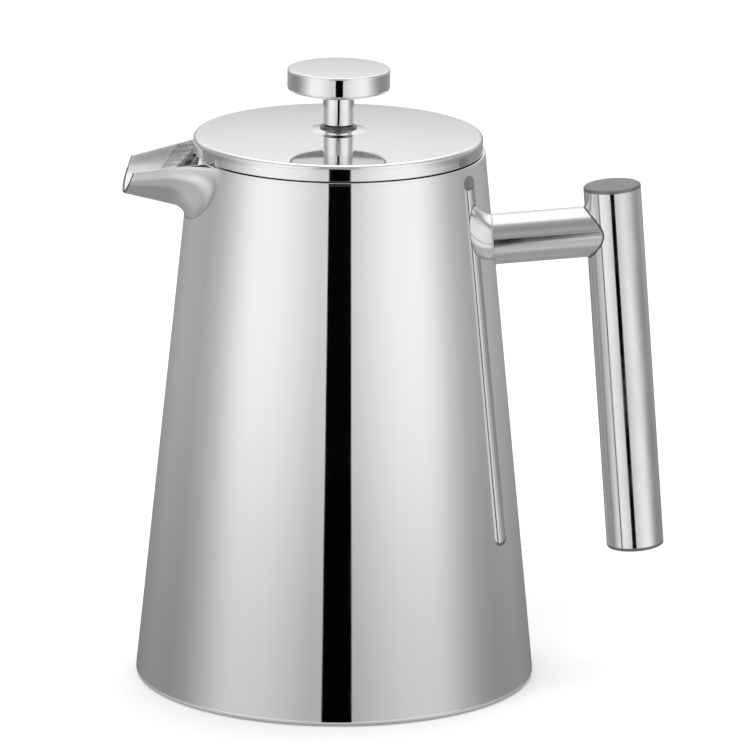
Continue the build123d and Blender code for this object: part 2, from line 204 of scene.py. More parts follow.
def rounded(corners, closed=True):
    """Profile rows (r, z) through corners (r, z) or (r, z, rounding), with arcs at the corners."""
    rows = []
    count = len(corners)
    for k, corner in enumerate(corners):
        here = np.array(corner[:2], float)
        if not closed and k in (0, count - 1):
            rows.append(here)
            continue
        before = np.array(corners[k - 1][:2], float)
        after = np.array(corners[(k + 1) % count][:2], float)
        enter, leave = unit(here - before), unit(after - here)
        turn = acos(max(-1.0, min(1.0, float(enter @ leave))))
        if turn < 1e-3:
            rows.append(here)
            continue
        radius = corner[2] if len(corner) > 2 else SHARP
        reach = radius * tan(turn / 2)
        start = here - enter * reach
        side = 1.0 if enter[0] * leave[1] - enter[1] * leave[0] > 0 else -1.0
        inward = np.array([-enter[1], enter[0]]) * side
        centre = start + inward * radius
        steps = max(2, ceil(degrees(turn) / ROUND_STEP))
        for s in range(steps + 1):
            angle = turn * s / steps
            rows.append(centre - inward * radius * cos(angle) + enter * radius * sin(angle))
    return np.array(rows)


def lathe(name, corners, segments=240, closed=True, angles=None, move=None):
    """Turned piece. Corners run counter-clockwise in (r, z). move(angle, r, z) may shift a row."""
    rows = rounded(corners, closed)
    if angles is None:
        angles = [2 * pi * k / segments for k in range(segments)]
    points = np.zeros((len(angles), len(rows), 3))
    for i, angle in enumerate(angles):
        r, z = rows[:, 0], rows[:, 1]
        if move:
            r, z = move(angle, r, z)
        points[i, :, 0] = r * cos(angle)
        points[i, :, 1] = r * sin(angle)
        points[i, :, 2] = z
    if closed:
        return grid_object(name, points)
    normals = grid_normals(points, True, False)
    on_axis = rows[:, 0] < 1e-6
    normals[:, on_axis] = (0, 0, 0)
    for j in np.nonzero(on_axis)[0]:
        normals[:, j, 2] = -1.0 if j == 0 else 1.0
    if rows[0, 1] > rows[-1, 1]:
        normals[:, on_axis] *= -1
    return grid_object(name, points, True, False, normals)


def outward_step(points, axis, at, inner):
    """Unit steps across a border of a point grid, from its row inner to its row at."""
    return unit(points.take([at], axis) - points.take([inner], axis))


def sheet_object(name, outer, thickness, flip=False):
    """Sheet of even thickness under an open (u, v, 3) grid, with all four borders rounded."""
    half = thickness / 2
    normals = grid_normals(outer, False, False)
    if flip:
        normals = -normals
    middle = outer - normals * half
    widths = np.full(middle.shape[:2] + (1,), half)
    arc = [radians(a) for a in BORDER_ARC]
    for axis in (0, 1):
        first, last = outward_step(middle, axis, 0, 1), outward_step(middle, axis, -1, -2)
        m0, n0, w0 = (grid.take([0], axis) for grid in (middle, normals, widths))
        m1, n1, w1 = (grid.take([-1], axis) for grid in (middle, normals, widths))
        head = [m0 + first * w0 * sin(a) for a in reversed(arc)]
        tail = [m1 + last * w1 * sin(a) for a in arc]
        middle = np.concatenate([*head, middle, *tail], axis)
        head = [w0 * cos(a) for a in reversed(arc)]
        tail = [w1 * cos(a) for a in arc]
        widths = np.concatenate([*head, widths, *tail], axis)
        normals = np.concatenate([n0] * len(arc) + [normals] + [n1] * len(arc), axis)
    top, under = middle + normals * widths, (middle - normals * widths)[:, ::-1]
    loop = np.concatenate([top, under], 1)
    if flip:
        loop = loop[::-1]
    return grid_object(name, loop, False, True)


def tube_object(name, path, radius, sides=10, wobble=None):
    """Round bead along a closed path of points."""
    tangents = unit(differences(path, 0, True))
    up = unit(np.cross(tangents, np.roll(tangents, 1, 0) + (0.001, 0.002, 0.003)))
    side = unit(np.cross(tangents, up))
    up = np.cross(side, tangents)
    for k in range(1, len(path)):  # carry the frame along without twist
        up[k] = up[k - 1] - tangents[k] * (up[k - 1] @ tangents[k])
        up[k] /= np.linalg.norm(up[k])
        side[k] = np.cross(tangents[k], up[k])
    points = np.zeros((len(path), sides, 3))
    for j in range(sides):
        angle = 2 * pi * j / sides
        r = radius if wobble is None else radius * wobble(np.arange(len(path)), angle)[:, None]
        points[:, j] = path + (up * cos(angle) + side * sin(angle)) * r
    return grid_object(name, points)


def finish_piece(piece, body, slot, material, *nodes):
    """Material, body and replaced CAD nodes of one piece. The slot argument is not used."""
    piece.data.materials.clear()
    piece.data.materials.append(material)
    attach(piece, body)
    if nodes:
        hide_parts(*nodes)
    return piece


# --- materials ----------------------------------------------------------------------------------------
class Tree:
    """Small helper for building a node tree."""

    def __init__(self, tree):
        """Helper for this tree."""
        self.tree = tree

    def add(self, kind, **values):
        """New node with its properties set."""
        node = self.tree.nodes.new(kind)
        for key, value in values.items():
            setattr(node, key, value)
        return node

    def link(self, source, target):
        """Link from an output to an input."""
        self.tree.links.new(source, target)

    def maths(self, operation, first, second=None, third=None):
        """Output of a Math node whose inputs are numbers or other outputs."""
        node = self.add("ShaderNodeMath", operation=operation)
        for socket, value in zip(node.inputs, (first, second, third)):
            if value is None:
                continue
            if isinstance(value, (int, float)):
                socket.default_value = value
            else:
                self.link(value, socket)
        return node.outputs["Value"]


class Nodes(Tree):
    """Node tree of a new material."""

    def __init__(self, name):
        """Material of this name with a plain Principled shader."""
        self.material = bpy.data.materials.new(name)
        self.material.use_nodes = True
        super().__init__(self.material.node_tree)
        self.shader = self.tree.nodes["Principled BSDF"]

    def position(self, scale=(1.0, 1.0, 1.0)):
        """Object position in metres, stretched."""
        where = self.add("ShaderNodeTexCoord")
        mapping = self.add("ShaderNodeMapping")
        mapping.inputs["Scale"].default_value = scale
        self.link(where.outputs["Object"], mapping.inputs["Vector"])
        return mapping.outputs["Vector"]

    def noise(self, vector, scale, detail=2.0, roughness=0.5):
        """Noise between 0 and 1."""
        node = self.add("ShaderNodeTexNoise")
        node.inputs["Scale"].default_value = scale
        node.inputs["Detail"].default_value = detail
        node.inputs["Roughness"].default_value = roughness
        self.link(vector, node.inputs["Vector"])
        return node.outputs["Fac"]

    def ranged(self, value, low_in, high_in, low_out, high_out):
        """Value mapped in a straight line from the first range to the second."""
        node = self.add("ShaderNodeMapRange")
        node.inputs["From Min"].default_value = low_in
        node.inputs["From Max"].default_value = high_in
        node.inputs["To Min"].default_value = low_out
        node.inputs["To Max"].default_value = high_out
        self.link(value, node.inputs["Value"])
        return node.outputs["Result"]

    def cylindrical(self, along_scale, around_scale, radial_scale):
        """Position as (angle, radius, height), each scaled, for marks that run round the axis."""
        where = self.add("ShaderNodeTexCoord")
        split = self.add("ShaderNodeSeparateXYZ")
        self.link(where.outputs["Object"], split.inputs["Vector"])
        angle = self.maths("ARCTAN2", split.outputs["Y"], split.outputs["X"])
        squares = self.maths("ADD", self.maths("MULTIPLY", split.outputs["X"], split.outputs["X"]),
                             self.maths("MULTIPLY", split.outputs["Y"], split.outputs["Y"]))
        radius = self.maths("SQRT", squares)
        join = self.add("ShaderNodeCombineXYZ")
        self.link(self.maths("MULTIPLY", angle, around_scale), join.inputs["X"])
        self.link(self.maths("MULTIPLY", radius, radial_scale), join.inputs["Y"])
        self.link(self.maths("MULTIPLY", split.outputs["Z"], along_scale), join.inputs["Z"])
        return join.outputs["Vector"]

    def bump(self, height, strength, distance, normal=None):
        """Normal bent by a height, on top of another normal if there is one."""
        node = self.add("ShaderNodeBump")
        node.inputs["Strength"].default_value = strength
        node.inputs["Distance"].default_value = distance
        self.link(height, node.inputs["Height"])
        if normal is not None:
            self.link(normal, node.inputs["Normal"])
        return node.outputs["Normal"]

    def tint(self, share, dark, bright, start=0.0, end=1.0):
        """Base colour that runs from dark to bright while share runs from start to end."""
        ramp = self.add("ShaderNodeValToRGB")
        first, last = ramp.color_ramp.elements
        first.position, last.position = start, end
        first.color, last.color = (*dark, 1), (*bright, 1)
        self.link(share, ramp.inputs["Fac"])
        self.link(ramp.outputs["Color"], self.shader.inputs["Base Color"])


def dimmed(colour, share):
    """Colour multiplied by a share."""
    return [c * share for c in colour]


def polished(name, colour=(0.9, 0.9, 0.905), roughness=0.035, wave=0.12):
    """Mirror-polished steel: slow waviness, faint polishing haze and a few hairline scratches."""
    n = Nodes(name)
    shader = n.shader
    shader.inputs["Base Color"].default_value = (*colour, 1)
    shader.inputs["Metallic"].default_value = 1.0
    where = n.position()
    haze = n.noise(where, 55.0, 4.0, 0.6)
    n.link(n.ranged(haze, 0.35, 0.75, roughness * 0.6, roughness * 1.7), shader.inputs["Roughness"])
    slow = n.noise(n.position((1.0, 1.0, 0.35)), 38.0, 1.0, 0.3)
    hair = n.noise(n.position((1.0, 1.0, 14.0)), 900.0, 2.0, 0.7)
    waved = n.bump(slow, wave, 0.0004)
    n.link(n.bump(hair, 0.012, 0.00005, waved), shader.inputs["Normal"])
    return n.material


def spout_with_painted_shade(name, shaded_colour, bright):
    """Pressed steel, satin at the beak and polished up to a mirror where it runs into the wall, with painted
    shade that darkens the base colour towards the beak.
    """
    n = Nodes(name)
    shader = n.shader
    shader.inputs["Metallic"].default_value = 1.0
    split = n.add("ShaderNodeSeparateXYZ")
    n.link(n.position(), split.inputs["Vector"])
    grain = n.noise(n.position((0.2, 1.0, 1.0)), 700.0, 3.0, 0.6)
    ragged = n.maths("ADD", split.outputs["X"], n.maths("MULTIPLY", grain, 0.006))
    share = n.ranged(ragged, -0.052, -0.036, 0.0, 1.0)
    # painted shade: the base colour runs darker towards the beak
    n.tint(share, shaded_colour, bright)
    n.link(n.ranged(share, 0.0, 1.0, 0.22, 0.1), shader.inputs["Roughness"])
    n.link(n.bump(grain, 0.04, 0.00005), shader.inputs["Normal"])
    return n.material


def turned_satin(name, colour, roughness, lines=2600.0, strength=0.10):
    """Satin steel with fine marks running round the axis."""
    n = Nodes(name)
    shader = n.shader
    shader.inputs["Base Color"].default_value = (*colour, 1)
    shader.inputs["Metallic"].default_value = 1.0
    marks = n.noise(n.cylindrical(lines, 1.2, lines), 1.0, 3.0, 0.6)
    n.link(n.ranged(marks, 0.3, 0.7, roughness * 0.75, roughness * 1.3), shader.inputs["Roughness"])
    n.link(n.bump(marks, strength, 0.00006), shader.inputs["Normal"])
    return n.material


def plain_satin(name, colour, roughness, grain=1400.0, stretch=(1.0, 1.0, 1.0), strength=0.15, metal=1.0):
    """Satin steel with an even or stretched grain."""
    n = Nodes(name)
    shader = n.shader
    shader.inputs["Base Color"].default_value = (*colour, 1)
    shader.inputs["Metallic"].default_value = metal
    marks = n.noise(n.position(stretch), grain, 3.0, 0.6)
    n.link(n.ranged(marks, 0.3, 0.7, roughness * 0.7, roughness * 1.3), shader.inputs["Roughness"])
    n.link(n.bump(marks, strength, 0.00008), shader.inputs["Normal"])
    return n.material


def weld_metal(name, colour, roughness):
    """Rough weld: ripples, pits and heat-tinted patches."""
    n = Nodes(name)
    shader = n.shader
    shader.inputs["Metallic"].default_value = 1.0
    where = n.position()
    patches = n.noise(where, 900.0, 4.0, 0.65)
    n.tint(patches, dimmed(colour, 0.78), colour, 0.34, 0.62)
    n.link(n.ranged(patches, 0.3, 0.7, roughness * 1.4, roughness * 0.7), shader.inputs["Roughness"])
    n.link(n.bump(n.noise(where, 1500.0, 3.0, 0.6), 0.5, 0.00012), shader.inputs["Normal"])
    return n.material


def woven_wire(name, colour, pitch):
    """Fine plain-weave wire cloth, drawn as crossing wires in relief."""
    n = Nodes(name)
    shader = n.shader
    shader.inputs["Metallic"].default_value = 1.0
    where = n.add("ShaderNodeTexCoord")
    split = n.add("ShaderNodeSeparateXYZ")
    n.link(where.outputs["Object"], split.inputs["Vector"])
    turn = 2 * pi / (pitch * MM)
    across = n.maths("SINE", n.maths("MULTIPLY", split.outputs["X"], turn))
    along = n.maths("SINE", n.maths("MULTIPLY", split.outputs["Y"], turn))
    wires = n.maths("MAXIMUM", n.maths("ABSOLUTE", across), n.maths("ABSOLUTE", along))
    n.link(n.ranged(wires, 0.45, 1.0, 0.55, 0.28), shader.inputs["Roughness"])
    n.tint(wires, dimmed(colour, 0.12), colour, 0.55, 0.9)
    n.link(n.bump(wires, 0.6, 0.00008), shader.inputs["Normal"])
    return n.material


def silicone(name, colour):
    """Soft translucent rubber with a dusty sheen."""
    n = Nodes(name)
    shader = n.shader
    shader.inputs["Subsurface Weight"].default_value = 0.25
    shader.inputs["Subsurface Radius"].default_value = (0.002, 0.002, 0.002)
    grain = n.noise(n.position(), 700.0, 3.0, 0.6)
    n.tint(grain, dimmed(colour, 0.9), colour)
    n.link(n.ranged(grain, 0.3, 0.7, 0.38, 0.55), shader.inputs["Roughness"])
    n.link(n.bump(grain, 0.1, 0.0001), shader.inputs["Normal"])
    return n.material


def felt(name):
    """Black felt with a faint nap."""
    n = Nodes(name)
    shader = n.shader
    nap = n.noise(n.position(), 60.0, 3.0, 0.6)
    n.tint(nap, (0.0005, 0.0005, 0.0005), (0.002, 0.002, 0.002))
    shader.inputs["Roughness"].default_value = 1.0
    shader.inputs["Specular IOR Level"].default_value = 0.0
    return n.material


def pale_floor(name):
    """Even off-white sweep with a trace of tone."""
    n = Nodes(name)
    shader = n.shader
    tone = n.noise(n.position(), 3.0, 2.0, 0.5)
    n.tint(tone, (0.86, 0.86, 0.86), (0.9, 0.9, 0.9))
    shader.inputs["Roughness"].default_value = 0.9
    shader.inputs["Specular IOR Level"].default_value = 0.1
    return n.material


WALL_STEEL = polished("wall_steel")
LID_STEEL = polished("lid_steel", roughness=0.05, wave=0.05)
KNOB_STEEL = polished("knob_steel", roughness=0.04, wave=0.03)
TUBE_STEEL = polished("tube_steel", (0.84, 0.835, 0.83), 0.11, 0.06)
# the spout's base colour darkens towards the beak: painted shade
SPOUT_PAINTED_SHADE_STEEL = spout_with_painted_shade("spout_steel_painted_shade", (0.68, 0.68, 0.685), (0.9, 0.9, 0.905))
CHANNEL_STEEL = plain_satin("channel_steel", (0.8, 0.8, 0.8), 0.36, 600.0, (0.3, 1.0, 1.0), 0.02, 0.5)
# painted dark reflection on the spout's cut edge at the beak
BEAK_EDGE_PAINTED_REFLECTION = plain_satin("beak_edge_painted_reflection", (0.16, 0.16, 0.165), 0.35, 1500.0)
LINER_STEEL = turned_satin("liner_steel", (0.84, 0.84, 0.84), 0.28, 2200.0, 0.05)
# the pouring lip's base colour is darkened: painted shade
LIP_PAINTED_SHADE_STEEL = polished("lip_steel_painted_shade", (0.45, 0.45, 0.45), 0.16, 0.2)
WELD = weld_metal("weld", (0.8, 0.795, 0.78), 0.42)
WELD_DARK = weld_metal("weld_dark", (0.2, 0.19, 0.19), 0.45)
BASE_STEEL = turned_satin("base_steel", (0.74, 0.74, 0.74), 0.32, 1800.0)
SKIRT_STEEL = turned_satin("skirt_steel", (0.82, 0.82, 0.82), 0.16)
# the collar's base colour is darkened: painted shade
COLLAR_PAINTED_SHADE_STEEL = turned_satin("collar_steel", (0.2, 0.2, 0.21), 0.18, 3000.0, 0.06)
NUT_STEEL = plain_satin("nut_steel", (0.66, 0.66, 0.66), 0.28)
ROD_STEEL = plain_satin("rod_steel", (0.8, 0.8, 0.8), 0.16, 1600.0, (1, 1, 0.02), 0.05)
PLATE_STEEL = turned_satin("plate_steel", (0.76, 0.76, 0.76), 0.22, 1500.0)
SPRING_STEEL = plain_satin("spring_steel", (0.74, 0.74, 0.75), 0.2, 2400.0)
CAP_STEEL = plain_satin("cap_steel", (0.28, 0.28, 0.28), 0.45, 1100.0, (1.0, 6.0, 1.0), 0.2)
MESH_WIRE = woven_wire("mesh_wire", (0.72, 0.72, 0.7), 0.5)
RING_SILICONE = silicone("ring_silicone", (0.82, 0.82, 0.8))


# --- spout geometry -----------------------------------------------------------------------------------
def along(line, x):
    """Value at x of a quantity given as (x, value, slope)."""
    return line[1] + line[2] * (x - line[0])


def trough_points(x, inset, section):
    """Points of the trough's section at x. section holds (side, sink, rise) for each point."""
    w = along(HALF_WIDTH, x) - inset
    bend = along(TOP_EDGE, x) - UPRIGHT
    floor = along(FLOOR_EDGE, x) + inset
    side, sink, rise = section.T
    y = side * w
    z = bend - (bend - floor) * sink + rise * UPRIGHT
    return np.stack([x + 0.0 * y, y, z], -1)


def trough_section(steps=56, uprights=4):
    """Rows from the near top edge, round the floor, to the far top edge."""
    rows = [(-1.0, 0.0, 1.0 - k / uprights) for k in range(uprights)]
    for k in range(steps + 1):
        angle = pi * k / steps
        rows.append((-cos(angle), sin(angle), 0.0))
    rows += [(1.0, 0.0, (k + 1) / uprights) for k in range(uprights)]
    return np.array(rows)


def solve_x(condition, inset, section, start, end):
    """x of each section point where condition(points) changes sign between start and end."""
    a = np.full(len(section), float(start))
    b = np.full(len(section), float(end))
    for _ in range(SEARCH_STEPS):
        mid = (a + b) / 2
        inside = condition(trough_points(mid, inset, section)) > 0
        a = np.where(inside, mid, a)
        b = np.where(inside, b, mid)
    return (a + b) / 2


def outside_wall(points, depth=0.0):
    """How far points lie outside the tapered wall."""
    return np.hypot(points[:, 0], points[:, 1]) - wall_r(points[:, 2]) + depth


def behind_beak(points, depth=0.0):
    """Positive where points lie more than depth behind the spout's front cut."""
    lean = radians(BEAK_LEAN)
    return (points[:, 0] - BEAK_X) * cos(lean) - (points[:, 2] - BEAK_Z) * sin(lean) - depth


def within_reach(points, reach):
    """Positive inside the cone on which the pouring lip ends."""
    wide = reach + LIP_FLARE * (RIM_Z - points[:, 2])
    return wide - np.hypot(points[:, 0] - LIP_CENTRE_X, points[:, 1])


def wall_facing(points):
    """Unit normals of the tapered wall at points on it."""
    return unit(unit(points * (1, 1, 0)) + np.array([0, 0, TAPER]))


def blend_end(at_root, deep):
    """Where the blend ends on the wall, for the points at which the trough meets it."""
    seam = unit(differences(at_root, 0, False))
    away = unit(np.cross(wall_facing(at_root), seam))
    away *= np.sign((away * (at_root - np.array(TROUGH_CORE))).sum(-1, keepdims=True))
    end = at_root + away * (BLEND_FLOOR * deep + BLEND_WALL * (1 - deep))
    end[:, 2] = np.minimum(end[:, 2], at_root[:, 2])
    end[:, :2] = unit(end[:, :2]) * (wall_r(end[:, 2:3]) - SEAT_GAP)
    return end


def spout_skin():
    """Outer surface of the spout, from the beak to where it blends into the wall."""
    section = trough_section()
    inset = SPOUT_SHEET / 2 + 0.02
    beak = solve_x(lambda p: behind_beak(p, inset), 0.0, section, LIP_INNER_X, BEYOND_BEAK)
    tip = trough_points(beak, 0.0, section)
    at_root = trough_points(solve_x(outside_wall, 0.0, section, BEYOND_BEAK, INSIDE_POT), 0.0, section)
    deep = section[:, 1:2] ** 1.5
    end = blend_end(at_root, deep)
    start = at_root + unit(tip - at_root) * (BLEND_FLOOR * deep + BLEND_FLANK * (1 - deep))
    columns = [tip + (start - tip) * s for s in np.linspace(0, 1, 26) ** 1.6]
    facing = wall_facing(end)
    chord = at_root - end
    chord -= facing * (chord * facing).sum(-1, keepdims=True)
    first, second = start + (at_root - start) * BLEND_PULL, end + chord * BLEND_PULL
    for s in np.linspace(0, 1, 25)[1:]:
        towards = 3 * s * (1 - s) ** 2 * first + 3 * s * s * (1 - s) * second
        columns.append(start * (1 - s) ** 3 + towards + end * s**3)
    return np.stack(columns, 1)


def make_spout():
    """Pressed trough, with a duller inside and a painted dark reflection on the cut edge at the beak."""
    piece = sheet_object("spout_sheet", spout_skin(), SPOUT_SHEET)
    finish_piece(piece, "pot", "polished_spout", SPOUT_PAINTED_SHADE_STEEL, "spout")
    piece.data.materials.append(CHANNEL_STEEL)
    piece.data.materials.append(BEAK_EDGE_PAINTED_REFLECTION)
    lean = radians(BEAK_LEAN)
    ahead = Vector((-cos(lean), 0, sin(lean)))
    front = Vector((BEAK_X, 0, BEAK_Z)) * MM
    for face in piece.data.polygons:
        outward = Vector((0, face.center.y, face.center.z - RIM_Z * MM))
        depth = -(face.center - front).dot(ahead)
        # faces at the beak's cut edge take the painted dark reflection
        if depth < SPOUT_SHEET / 2 * MM:
            face.material_index = 2
        elif face.normal.dot(outward) < 0:
            face.material_index = 1


def seam_surface(from_reach, to_reach, heights, section, ragged=0.0):
    """Strip on the spout's inside from one cone to the next, or to the wall, raised by heights."""

    def on_cone(reach):
        return solve_x(lambda p: within_reach(p, reach), SPOUT_SHEET, section, LIP_INNER_X, BEYOND_BEAK)

    outer = on_cone(from_reach) + ragged
    if to_reach is None:
        inner = solve_x(lambda p: outside_wall(p, 1.2), SPOUT_SHEET, section, BEYOND_BEAK, INSIDE_POT)
        inner = np.maximum(inner, outer + 0.4)
    else:
        inner = on_cone(to_reach)
    columns = []
    for share, height in zip(np.linspace(0, 1, len(heights)), heights):
        columns.append(trough_points(outer + (inner - outer) * share, SPOUT_SHEET + height, section))
    return np.stack(columns, 1)


def make_pour_lip():
    """The liner's lip: its edge stands proud of the spout and it slopes back into the pot."""
    share = np.linspace(0, 1, 24)
    heights = LINER_SHEET + LIP_STAND * (1 - np.clip(share / 0.62, 0, 1)) ** 1.3
    surface = seam_surface(LIP_REACH, None, heights, trough_section())
    piece = sheet_object("pour_lip_sheet", surface, LINER_SHEET, flip=True)
    # the lip's darkened steel is painted shade
    finish_piece(piece, "pot", "satin_liner", LIP_PAINTED_SHADE_STEEL, "pour_lip")


def make_spout_weld():
    """Rippled seam that ramps from the spout's floor up to the edge of the pouring lip."""
    section = trough_section(steps=150, uprights=6)
    rng = np.random.default_rng(7)
    steps = np.arange(len(section))
    ragged = 0
    for f in (0.21, 0.47, 0.93, 1.6):
        ragged = ragged + rng.uniform(0.1, 0.3) * np.sin(steps * f + rng.uniform(0, 6))
    full = LINER_SHEET + LIP_STAND * 0.9
    heights = []
    for at in np.linspace(0, 1, 16):
        ripple = 1 + 0.07 * np.sin(steps * 1.3 + 2.2 * at)
        heights.append(0.06 + full * at**1.2 * ripple)
    surface = seam_surface(LIP_REACH + WELD_WIDTH, LIP_REACH - 0.2, heights, section, ragged * 0.4)
    piece = sheet_object("spout_weld_seam", surface, WELD_SHEET, flip=True)
    finish_piece(piece, "pot", "weld_metal", WELD, "spout_weld")


# --- pot ----------------------------------------------------------------------------------------------
def notch_curve(inset, depth):
    """Angle from -X and height of the spout's notch, from its near top corner to its floor."""
    section = trough_section(steps=96, uprights=5)
    near = section[: len(section) // 2 + 1]
    x = solve_x(lambda p: outside_wall(p, depth), inset, near, BEYOND_BEAK, INSIDE_POT)
    points = trough_points(x, inset, near)
    return np.arctan2(-points[:, 1], -points[:, 0]), points[:, 2]


def notched_angles(angle, height, top, plain=250):
    """Angles round the pot, with those of the notch's curve, and the height of the edge at each."""
    corner = angle[0] + 0.0006  # a hair beyond the curve, so that the notch has an upright side
    angles = [corner, *angle]
    heights = [top, *np.minimum(height, top)]
    span = 2 * pi - 2 * corner
    turn = [-a for a in angles] + angles[::-1][1:]
    tops = heights + heights[::-1][1:]
    for k in range(1, plain):
        turn.append(corner + span * k / plain)
        tops.append(top)
    return [pi + t for t in turn], tops


def make_outer_shell():
    """Tapered wall with its foot turned in and its top cut out for the spout."""
    angle, height = notch_curve(SPOUT_SHEET, 0.0)
    angles, tops = notched_angles(angle, height, LIP_Z)
    t = SHEET * hypot(1, TAPER)
    corners = [
        (FLANGE_R, 0, 0.1),
        (FOOT_R, 0, FOOT_ROUND),
        (wall_r(NOTCH_BELOW), NOTCH_BELOW),
        (wall_r(LIP_Z), LIP_Z),
        (wall_r(LIP_Z) - t, LIP_Z),
        (wall_r(NOTCH_BELOW) - t, NOTCH_BELOW),
        (wall_r(SHEET) - t, SHEET, FOOT_ROUND - SHEET),
        (FLANGE_R, SHEET, 0.1),
    ]
    level = dict(zip(angles, tops))

    def move(at, r, z):
        down = np.where(z > NOTCH_BELOW + 1, LIP_Z - level[at], 0.0)
        return r + TAPER * down, z - down

    piece = lathe("outer_wall", corners, angles=angles, move=move)
    finish_piece(piece, "pot", "polished_wall", WALL_STEEL, "outer_shell")


def make_inner_liner():
    """Straight wall and floor. Its rolled lip follows the rim and dips through the spout's notch."""
    inset = SPOUT_SHEET + LINER_SHEET
    angle, height = notch_curve(inset, 0.6)
    angles, tops = notched_angles(angle, height, RIM_Z)
    out_r = LINER_R + LINER_SHEET
    under = LINER_FLOOR - LINER_SHEET
    corners = [
        (0, under),
        (out_r, under, FLOOR_BEND + LINER_SHEET),
        (out_r, NOTCH_BELOW),
        (out_r, LIP_Z),
        (wall_r(LIP_Z), LIP_Z),
        (wall_r(RIM_Z), RIM_Z, 0.2),
        (LINER_R, RIM_Z, 1.5),
        (LINER_R, NOTCH_BELOW),
        (LINER_R, LINER_FLOOR, FLOOR_BEND),
        (0, LINER_FLOOR),
    ]
    level = dict(zip(angles, tops))

    def move(at, r, z):
        down = np.where(z > NOTCH_BELOW + 1, RIM_Z - level[at], 0.0)
        share = np.clip((r - LINER_R) / (wall_r(z) - LINER_R), 0, 1) * (r > LINER_R + LINER_SHEET * 0.5)
        return r + share * TAPER * down, z - down

    piece = lathe("liner", corners, closed=False, angles=angles, move=move)
    finish_piece(piece, "pot", "satin_liner", LINER_STEEL, "inner_liner")
    piece.data.materials.append(WALL_STEEL)
    for face in piece.data.polygons:
        if hypot(face.center.x, face.center.y) > (LINER_R + 1.2) * MM and face.center.z > LIP_Z / 2 * MM:
            face.material_index = 1


# --- handle -------------------------------------------------------------------------------------------
def to_handle(points):
    """Handle's own frame (x along the arm, z along the grip) to the pot's frame."""
    c, s = cos(radians(HANDLE_TILT)), sin(radians(HANDLE_TILT))
    x, y, z = points[..., 0], points[..., 1], points[..., 2]
    return np.stack([TEE_X + x * c - z * s, y, TEE_Z + x * s + z * c], -1)


def arm_ends(angles, radius):
    """Where the arm's outside meets the pot's wall and the grip, in the handle's frame."""
    y, z = radius * np.cos(angles), radius * np.sin(angles)
    grip_end = -np.sqrt(GRIP_R**2 - y**2)
    a, b = np.full(len(angles), -60.0), np.full(len(angles), -20.0)
    for _ in range(SEARCH_STEPS):
        mid = (a + b) / 2
        outside = outside_wall(to_handle(np.stack([mid, y, z], -1))) > 0
        a, b = np.where(outside, a, mid), np.where(outside, mid, b)
    return (a + b) / 2, grip_end


def make_arm():
    """Tube from the wall to the grip, cut to fit both."""
    angles = np.linspace(0, 2 * pi, 144, endpoint=False)
    wall_end, grip_end = arm_ends(angles, ARM_R)
    rows = []
    for radius, order in ((ARM_R, (0, 1)), (ARM_R - ARM_WALL, (1, 0))):
        y, z = radius * np.cos(angles), radius * np.sin(angles)
        ends = (wall_end, grip_end)
        first, last = ends[order[0]], ends[order[1]]
        for s in (0.0, 0.01, 0.5, 0.99, 1.0):
            rows.append(np.stack([first + (last - first) * s, y, z], -1))
    points = to_handle(np.stack(rows, 1))
    piece = grid_object("arm_tube", points[::-1])
    finish_piece(piece, "pot", "polished_tube", TUBE_STEEL, "handle_arm")


def make_arm_seams():
    """Thin weld seams where the arm meets the wall and the grip."""
    count = 220
    angles = np.linspace(0, 2 * pi, count, endpoint=False)
    wall_end, grip_end = arm_ends(angles, ARM_R)
    rng = np.random.default_rng(3)
    phases = rng.uniform(0, 2 * pi, 6)

    def ragged(k, angle):
        turn = 2 * pi * k / count
        return 1 + sum(0.12 * np.sin(turn * f + p + angle) for f, p in zip((5, 11, 17, 29, 41, 63), phases))

    for name, ends, size, material in (
        ("wall_seam", wall_end, 0.22, WELD),
        ("grip_seam", grip_end, 0.3, WELD_DARK),
    ):
        path = to_handle(np.stack([ends, ARM_R * np.cos(angles), ARM_R * np.sin(angles)], -1))
        piece = tube_object(name, path, size, 8, ragged)
        finish_piece(piece, "pot", "weld_metal", material)


def handle_lathe(name, corners, closed, material, node, segments=160):
    """Turned piece about the grip's axis."""
    piece = lathe(name, corners, segments, closed)
    mesh = piece.data
    tilt = radians(HANDLE_TILT)
    turn = np.array([[cos(tilt), 0, -sin(tilt)], [0, 1, 0], [sin(tilt), 0, cos(tilt)]])
    shift = np.array([TEE_X, 0, TEE_Z]) * MM
    places = np.array([v.co for v in mesh.vertices]) @ turn.T + shift
    normals = np.array([n.vector for n in mesh.vertex_normals])
    corner_normals = np.array([loop.vector for loop in mesh.corner_normals])
    loops = np.array([loop.vertex_index for loop in mesh.loops])
    normals[loops] = corner_normals
    mesh.vertices.foreach_set("co", places.ravel())
    mesh.normals_split_custom_set_from_vertices((normals @ turn.T).tolist())
    mesh.update()
    finish_piece(piece, "pot", "polished_tube", material, node)


def make_grip():
    """Grip tube with a plug pressed into each end."""
    z0, z1 = CAP - GRIP_DOWN, GRIP_UP - CAP
    plug_r = GRIP_R - GRIP_WALL
    tube = [(plug_r, z0), (GRIP_R, z0, 0.06), (GRIP_R, z1, 0.06), (plug_r, z1)]
    handle_lathe("grip_tube", tube, True, TUBE_STEEL, "handle_grip")
    top = [(0, z1 - CAP), (plug_r, z1 - CAP), (plug_r, z1), (GRIP_R, z1, 0.05)]
    top += [(GRIP_R, GRIP_UP, CAP_EDGE), (0, GRIP_UP)]
    handle_lathe("grip_top", top, False, CAP_STEEL, "grip_cap_top")
    bottom = [(0, -GRIP_DOWN), (GRIP_R, -GRIP_DOWN, CAP_EDGE), (GRIP_R, z0, 0.05)]
    bottom += [(plug_r, z0), (plug_r, z0 + CAP), (0, z0 + CAP)]
    handle_lathe("grip_bottom", bottom, False, CAP_STEEL, "grip_cap_bottom")


